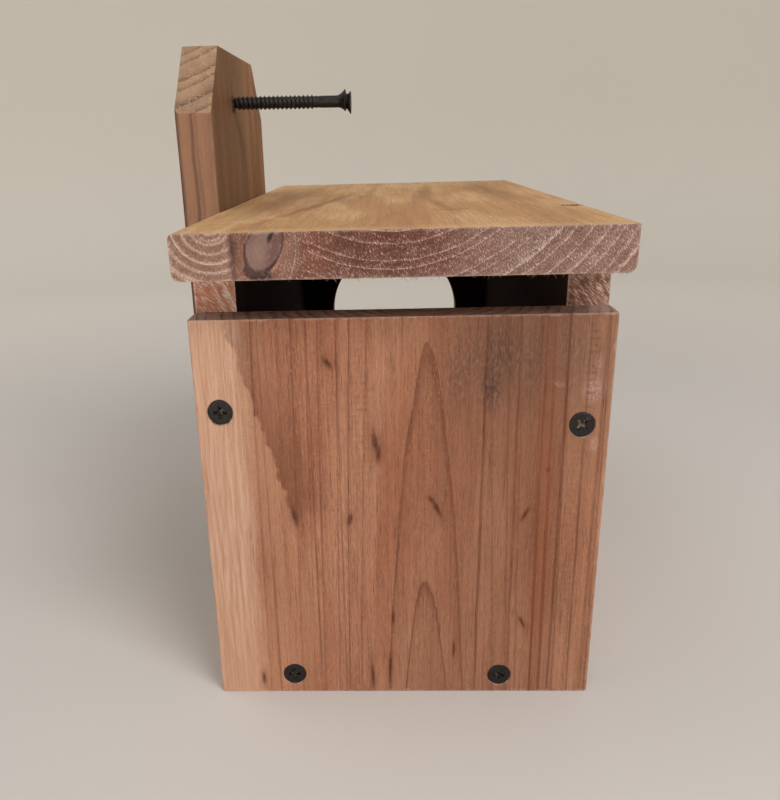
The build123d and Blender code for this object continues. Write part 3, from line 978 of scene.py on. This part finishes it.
def mounting_bore():
    """The cutter for the hole that the mounting screw has started in its board."""
    profile = [(0, -35), (BORE_RADIUS, -35), (BORE_RADIUS, -90), (0, -90)]
    return placed(lathe(profile, 36, 0.015, 9), screw_place("mounting_screw", screw_travel()))


def black_phosphate(name, dusty):
    """Black phosphate: nearly black, slightly brown, rubbed grey on its crests, with pale sawdust."""
    g = Graph(name)
    object_place = g.add("TexCoord").outputs["Object"]
    place = g.add("VectorMath", object_place, (MM, MM, MM), operation="DIVIDE").outputs[0]
    cloud = g.noise(place, (1.3, 1.3, 1.3), 3.0, 0.6)
    grain = g.noise(place, (0.18, 0.18, 0.18), 3.0, 0.7)
    pointy = g.add("NewGeometry").outputs["Pointiness"]
    rubbed = g.times(g.step(pointy, 0.52, 0.62), g.step(cloud, 0.4, 0.62))
    colour = g.mix(cloud, srgb(18, 16, 15), srgb(36, 31, 29))
    colour = g.tint(colour, (112, 104, 98), rubbed, 0.6)
    recess = g.add("Attribute", attribute_name="recess").outputs["Fac"]
    lying = g.times(g.step(grain, 0.56, 0.7), g.step(cloud, 0.5, 0.62), 0.3)
    packed = g.times(recess, g.step(g.plus(cloud, g.centred(grain, 0.3)), 0.42, 0.55))
    dust = g.times(g.math("MAXIMUM", lying, packed), dusty)
    colour = g.tint(colour, (190, 170, 146), dust)
    g.shader.inputs["Metallic"].default_value = 0.35
    rough = g.plus(0.36, g.times(grain, 0.25), g.times(dust, 0.3))
    return g.finish(colour, rough, g.plus(g.times(grain, 0.5), cloud), 0.05, 0.5)


def make_boards():
    """Every board with its own cedar, countersunk for its screws."""
    cutters = {board["node"]: [] for board in BOARDS}
    for seed, (node, direction, size, board, _) in enumerate(screw_groups()):
        cutters[board].append(countersink(node, direction, size, board, seed))
    cutters["entrance_end_board"].append(entrance_hole())
    cutters["mounting_board"].append(mounting_bore())
    for board in BOARDS:
        piece = board_piece(board)
        if cutters[board["node"]]:
            cut(piece, cutters[board["node"]])
        dressed(piece, cedar(board))
        smooth(piece, 34)
        stand_for(piece, board["node"], board["slot"])


def make_screws():
    """Every fixed screw as a copy of its size's blank, and the mounting screw with its head leaning."""
    plain = black_phosphate("black_phosphate", 0.35)
    dusty = black_phosphate("black_phosphate_dusty", 0.95)
    blanks = {}
    for node, direction, size, _, roll in screw_groups():
        length = size["length"]
        if length not in blanks:
            blanks[length] = screw_mesh(f"screw_{length:.0f}", size)
        piece = linked(node + "_steel", blanks[length].data.copy())
        piece.data.transform(screw_place(node, direction, roll))
        dressed(piece, dusty if node in DUSTY_SCREWS else plain)
        stand_for(piece, node, "black_screw")
    for blank in blanks.values():
        bpy.data.objects.remove(blank)

    travel = screw_travel()
    piece = screw_mesh("mounting_screw_steel", MOUNTING_SCREW)
    up = screw_place("mounting_screw", travel).inverted().to_3x3() @ Vector((0, 0, 1))
    roll = math.degrees(math.atan2(up.y, up.x))
    piece.data.transform(screw_place("mounting_screw", travel, roll))
    dressed(piece, dusty)
    stand_for(piece, "mounting_screw", "black_screw", "mounting_screw")


def torn_fibre(foot, out, length, width, bend):
    """One thin curved splinter in mm: three-sided, tapering to a point."""
    foot, out, bend = Vector(foot), Vector(out).normalized(), Vector(bend)
    side = out.orthogonal().normalized()
    other = out.cross(side)
    points = []
    for share in (0.0, 0.35, 0.7):
        middle = foot + out * length * share + bend * share**2
        for x, y in round_corners(1, 3):
            points.append(middle + (side * x + other * y) * (width / 2 * (1 - share) ** 0.7))
    points.append(foot + out * length + bend)
    sides = [quad[::-1] for quad in ring_quads(3, 3)]
    return points, [(2, 1, 0), *sides, (6, 7, 9), (7, 8, 9), (8, 6, 9)]


def roof_fibres(draw, low, high):
    """A fringe under the roof's near end, denser to the right, and three long fibres over the slot."""
    for _ in range(90):
        x = low.x + 20 + (high.x - low.x - 22) * draw.random() ** 0.6
        out = (draw.gauss(0, 0.6), draw.uniform(-0.7, 0.4), -1)
        bend = (draw.gauss(0, 0.35), draw.gauss(0, 0.3), 0.1)
        length = draw.uniform(0.6, 1.3) + 1.4 * draw.random() ** 6
        yield torn_fibre((x, low.y + 0.35, low.z + 0.3), out, length, draw.uniform(0.1, 0.26), bend)
    for foot, out, length, bend in (
        ((-46.2, -148.4, 159.2), (0.2, 0, -1), 3.4, (-1.4, 0.3, 0.2)),
        ((-44.9, -148.2, 159.2), (-0.5, 0, -1), 2.6, (1.2, -0.2, 0.1)),
        ((-47.4, -148.6, 159.2), (0.6, 0, -1), 1.8, (0.5, 0.2, 0.4)),
    ):
        yield torn_fibre(foot, out, length, 0.2, bend)


def end_board_fibres(draw, low, high):
    """Fuzz along both top edges of the near end board."""
    for _ in range(120):
        foot = (draw.uniform(low.x + 2, high.x - 2), draw.choice((low.y + 0.4, high.y - 0.4)), high.z - 0.25)
        out = (draw.gauss(0, 0.7), draw.gauss(0, 0.5), 1)
        bend = (draw.gauss(0, 0.3), draw.gauss(0, 0.2), 0)
        yield torn_fibre(foot, out, draw.uniform(0.4, 0.95), draw.uniform(0.08, 0.2), bend)


def rear_wall_fibres(draw, low, high):
    """Fuzz on the rear wall's sawn end, where the slot shows it."""
    for _ in range(70):
        foot = (draw.uniform(low.x + 0.8, high.x - 0.8), low.y + 0.3, draw.uniform(146.5, 157.5))
        out = (draw.gauss(0.3, 0.5), -1, draw.gauss(0.5, 0.6))
        bend = (draw.gauss(0, 0.3), 0, draw.gauss(0, 0.3))
        yield torn_fibre(foot, out, draw.uniform(0.5, 1.1), draw.uniform(0.1, 0.24), bend)


def mounting_board_splinters(draw, low, high):
    """Splinters that the started screw has lifted round its hole."""
    hole = screw_place("mounting_screw", screw_travel()) @ Vector((0, 0, -51.0 * MM)) / MM
    for number in range(15):
        angle = math.radians(150 + 14 * number + draw.uniform(-6, 6))
        around = Vector((0, math.cos(angle), math.sin(angle)))
        foot = Vector((high.x - 0.2, hole.y, hole.z)) + around * draw.uniform(3.0, 3.5)
        bend = around * draw.uniform(0.2, 0.8)
        out = Vector((1, 0, 0)) + around * 0.3
        yield torn_fibre(foot, out, draw.uniform(0.6, 1.5), draw.uniform(0.5, 1.0), bend)


def make_fibres():
    """Torn fibre that the saw and the screws left standing, in its board's wood."""
    draw = random.Random(11)
    for strands, node in (
        (roof_fibres, "roof_board"),
        (end_board_fibres, "solid_end_board"),
        (rear_wall_fibres, "rear_wall"),
        (mounting_board_splinters, "mounting_board"),
    ):
        low, high = (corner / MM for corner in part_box(node))
        points, faces = joined(strands(draw, low, high))
        piece = mesh_object(strands.__name__, [p * MM for p in points], faces)
        dressed(piece, bpy.data.objects[node + "_wood"].data.materials[0])
        piece.data.shade_smooth()
        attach(piece, "box")


# ---------------------------------------------------------------- stage


def make_stage():
    """A pale floor that curves up into a wall all round."""
    flat, bend, wall = 1.0, 0.6, 1.6
    profile = [(0.0001, 0), (0.3, 0), (flat, 0)]
    for number in range(1, 13):
        angle = math.pi / 2 * number / 12
        profile.append((flat + bend * math.sin(angle), bend * (1 - math.cos(angle))))
    profile.append((flat + bend, wall))
    columns = 96
    points = [(x, y, height) for radius, height in profile for x, y in round_corners(radius, columns)]
    rising = [quad[::-1] for quad in ring_quads(len(profile), columns)]
    sweep = mesh_object("studio_sweep", points, [*rising, tuple(range(columns))])
    sweep.data.shade_smooth()
    g = Graph("studio_paper")
    place = g.add("TexCoord").outputs["Object"]
    cloud = g.noise(place, (0.4, 0.4, 0.4))
    height = g.add("SeparateXYZ", place).outputs[2]
    away = g.add("VectorMath", place, operation="LENGTH").outputs["Value"]
    colour = g.mix(g.step(away, 0.35, 0.85), srgb(206, 202, 199), srgb(226, 221, 214))
    colour = g.tint(colour, (222, 216, 206), g.step(height, 0.02, 0.3))
    colour = g.shaded(colour, g.plus(g.centred(cloud, 0.06), 1.0))
    dressed(sweep, g.finish(colour, 0.9, cloud, 0.01, 0.1))


def area_light(name, place, aim, size, power, colour):
    light = bpy.data.lights.new(name, "AREA")
    light.shape = "DISK"
    light.size = size
    light.energy = power
    light.color = colour
    lamp = linked(name, light)
    lamp.location = place
    lamp.rotation_euler = (Vector(aim) - Vector(place)).to_track_quat("-Z", "Y").to_euler()
    lamp.visible_camera = False


def make_lights():
    area_light("key", (0.55, -0.85, 1.0), (0, 0, 0.1), 0.7, 10, (1.0, 0.975, 0.94))
    area_light("fill", (-0.35, -1.15, 0.22), (0, 0, 0.12), 0.6, 2.6, (0.98, 0.985, 1.0))
    area_light("backdrop", (-0.7, 0.1, 1.3), (-0.6, 1.2, 0.0), 0.8, 2.8, (1.0, 0.99, 0.97))
    world = bpy.data.worlds.new("studio")
    world.use_nodes = True
    world.node_tree.nodes["Background"].inputs[0].default_value = (1.0, 0.99, 0.975, 1)
    world.node_tree.nodes["Background"].inputs[1].default_value = 0.5
    bpy.context.scene.world = world


def make_camera():
    data = bpy.data.cameras.new("camera")
    data.lens = 37.8
    data.sensor_width = 36
    data.shift_x = 0.0433
    data.shift_y = 0.0914
    data.clip_start = 0.01
    camera = linked("camera", data)
    camera.location = (0.0026, -0.4055, 0.1968)
    camera.rotation_euler = [math.radians(a) for a in (68.55, 1.45, 1.88)]
    bpy.context.scene.camera = camera


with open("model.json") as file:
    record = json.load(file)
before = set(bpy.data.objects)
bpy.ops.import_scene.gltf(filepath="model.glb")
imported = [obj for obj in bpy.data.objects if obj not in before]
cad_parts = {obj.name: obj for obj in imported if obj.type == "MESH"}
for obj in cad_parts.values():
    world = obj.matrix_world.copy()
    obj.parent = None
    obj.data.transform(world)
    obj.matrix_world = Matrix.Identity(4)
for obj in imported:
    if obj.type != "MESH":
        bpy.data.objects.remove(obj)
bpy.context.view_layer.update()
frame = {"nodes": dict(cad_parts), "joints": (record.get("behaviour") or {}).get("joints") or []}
make_camera()
make_stage()
make_lights()
make_boards()
make_screws()
make_fibres()
bpy.context.scene.view_settings.view_transform = "Standard"
